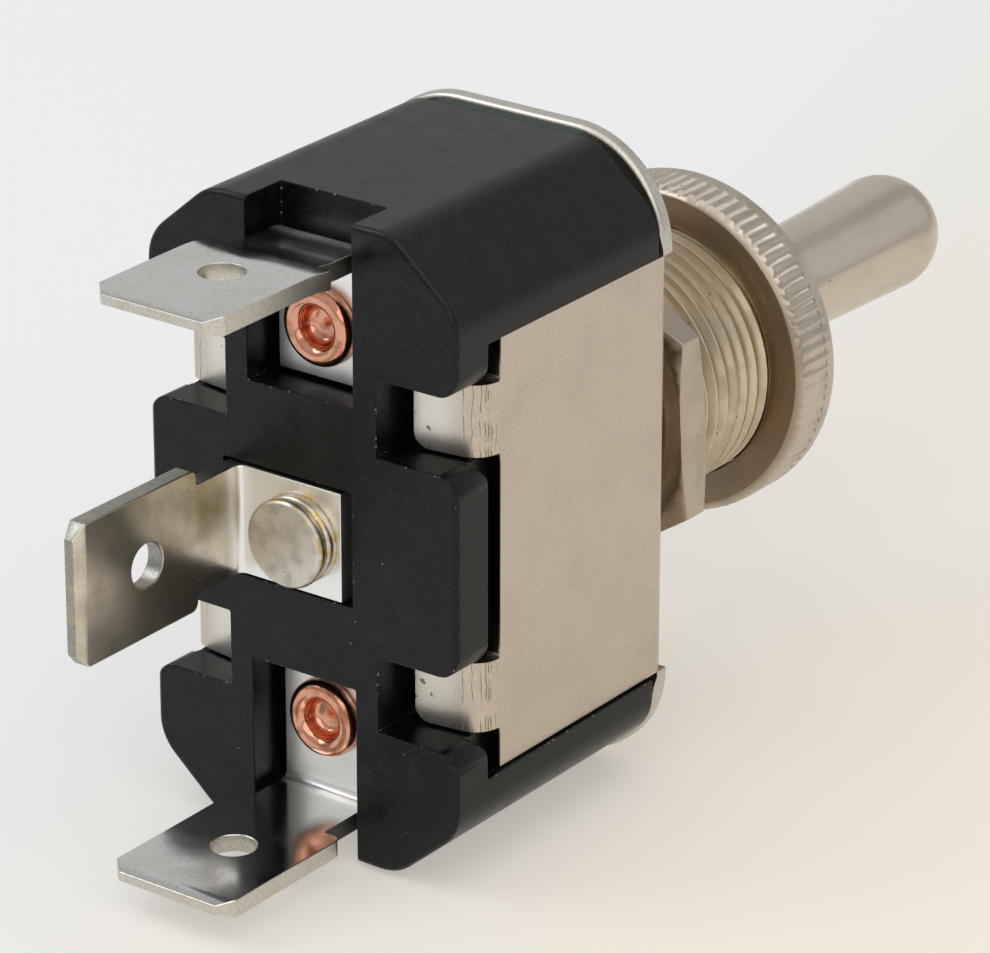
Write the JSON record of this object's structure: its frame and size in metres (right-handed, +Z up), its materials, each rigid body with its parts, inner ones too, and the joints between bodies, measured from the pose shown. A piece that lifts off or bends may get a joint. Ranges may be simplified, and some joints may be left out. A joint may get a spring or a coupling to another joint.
{
  "type": "panel toggle switch",
  "caption": "Bat-handle toggle switch for a panel: threaded bushing with nuts, a metal frame crimped over a black moulded body, and push-on tabs at the rear.",
  "frame": {"origin": "on the bushing axis, at the front face of the folded frame", "axes": "+Y along the bushing towards the handle, +Z up along the body, +X across it"},
  "size_m": [0.016, 0.0574, 0.029],
  "materials": {
    "black_moulding": "satin",
    "nickel_sheet": "satin",
    "nickel_turned": "satin",
    "nickel_handle": "satin",
    "tinned_strip": "satin",
    "copper": "gloss",
    "post_metal": "satin",
    "fibre": "matte",
    "plunger_peg": "satin",
    "spring_wire": "gloss",
    "silver": "satin"
  },
  "bodies": {
    "body": {"housing": "black_moulding", "frame": "nickel_sheet", "fibre_liner": "fibre", "bushing": "nickel_turned", "cradle": "post_metal", "common_post": "post_metal", "common_terminal": "tinned_strip", "upper_terminal": "tinned_strip", "lower_terminal": "tinned_strip", "upper_rivet": "copper", "lower_rivet": "copper", "upper_fixed_contact": "silver", "lower_fixed_contact": "silver"},
    "lever": {"toggle_lever": "nickel_handle", "pivot_pin": "nickel_handle", "plunger_spring": "spring_wire"},
    "plunger": {"plunger": "plunger_peg"},
    "rocker": {"rocker": "copper", "upper_rocker_contact": "silver", "lower_rocker_contact": "silver"},
    "hex_nut": {"hex_nut": "nickel_turned"},
    "face_nut": {"face_nut": "nickel_turned"}
  },
  "joints": [
    {"name": "lever_throw", "type": "hinge", "parent": "body", "child": "lever", "pos_m": [0, 0.005, 0], "axis": [1, 0, 0], "range_deg": [-13, 13]},
    {"name": "rocker_tilt", "type": "hinge", "parent": "body", "child": "rocker", "pos_m": [0, -0.0078, 0], "axis": [1, 0, 0], "range_deg": [-6.6, 6.6]},
    {"name": "plunger_slide", "type": "slide", "parent": "lever", "child": "plunger", "axis": [0, 1, 0], "range_m": [0, 0.0012], "stiffness_N_per_m": 300, "springref_m": -0.003, "deforming": ["plunger_spring"]},
    {"name": "hex_nut_turn", "type": "hinge", "parent": "body", "child": "hex_nut", "pos_m": [0, 0.003, 0], "axis": [0, 1, 0], "continuous": true},
    {"name": "face_nut_turn", "type": "hinge", "parent": "body", "child": "face_nut", "pos_m": [0, 0.0118, 0], "axis": [0, 1, 0], "continuous": true}
  ],
  "couplings": [
    {"joint": "rocker_tilt", "follows": "lever_throw", "ratio": -0.5}
  ]
}
